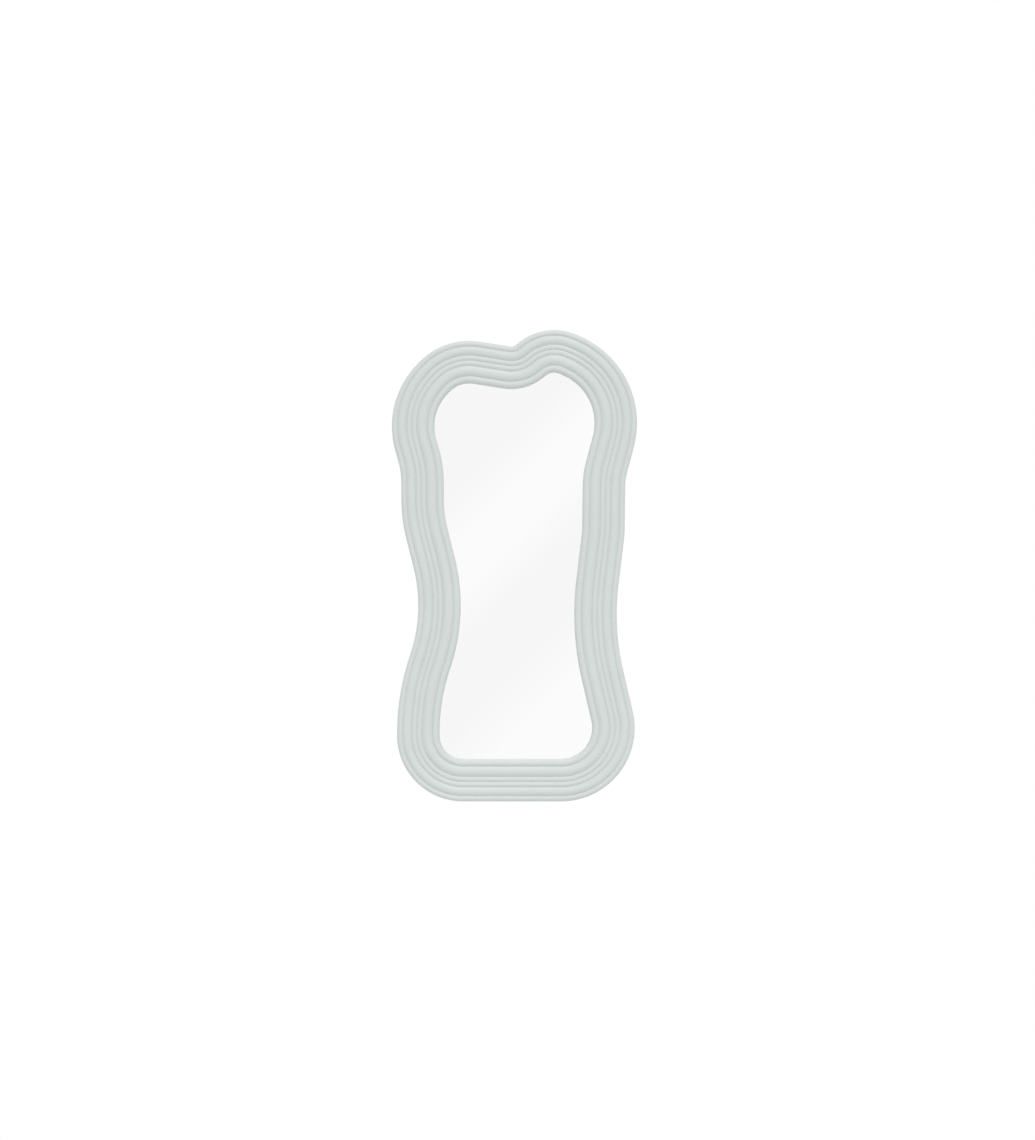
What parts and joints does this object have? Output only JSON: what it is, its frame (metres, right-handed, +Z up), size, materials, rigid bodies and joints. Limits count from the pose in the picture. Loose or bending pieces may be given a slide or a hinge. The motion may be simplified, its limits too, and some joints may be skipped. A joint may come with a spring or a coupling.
{
  "type": "wall mirror",
  "caption": "Tall wall mirror with a wavy outline: silvered glass in a ribbed moulded frame, with a screwed back board, swinging ring hangers and wall pads.",
  "frame": {"origin": "on the wall plane, under the middle of the mirror's lowest edge", "axes": "+Z up, +X to the right seen from the front, the glass faces -Y, the wall is the plane y = 0"},
  "size_m": [0.52, 0.0377, 1],
  "materials": {
    "painted_moulding": "satin pale sage-grey paint on a rigid moulding",
    "silvered_glass": "polished, silvered at the back, painted behind",
    "setting_rubber": "matt black rubber",
    "white_foam": "white closed-cell foam, sticky both sides",
    "fibreboard": "raw medium-density fibreboard, sealed smooth",
    "zinc_screw": "bright zinc plating",
    "zinc_plate": "zinc plating, rolled sheet",
    "zinc_wire": "zinc plating, drawn wire",
    "pad_rubber": "matt dark grey rubber"
  },
  "bodies": {
    "mirror": {"frame_moulding": "painted_moulding", "mirror_glass": "silvered_glass", "setting_blocks": "setting_rubber", "foam_tape": "white_foam", "back_board": "fibreboard", "board_screws": "zinc_screw", "hanger_strap_left": "zinc_plate", "hanger_strap_right": "zinc_plate", "hanger_screws_left": "zinc_screw", "hanger_screws_right": "zinc_screw", "wall_pad_lower_left": "pad_rubber", "wall_pad_lower_right": "pad_rubber", "wall_pad_upper_left": "pad_rubber", "wall_pad_upper_right": "pad_rubber"},
    "ring_left": {"hanger_ring_left": "zinc_wire"},
    "ring_right": {"hanger_ring_right": "zinc_wire"}
  },
  "joints": [
    {"name": "ring_left_swing", "type": "hinge", "parent": "mirror", "child": "ring_left", "pos_m": [-0.204, -0.0093, 0.8], "axis": [-1, 0, 0], "range_deg": [0, 180]},
    {"name": "ring_right_swing", "type": "hinge", "parent": "mirror", "child": "ring_right", "pos_m": [0.204, -0.0093, 0.8], "axis": [-1, 0, 0], "range_deg": [0, 180]}
  ]
}
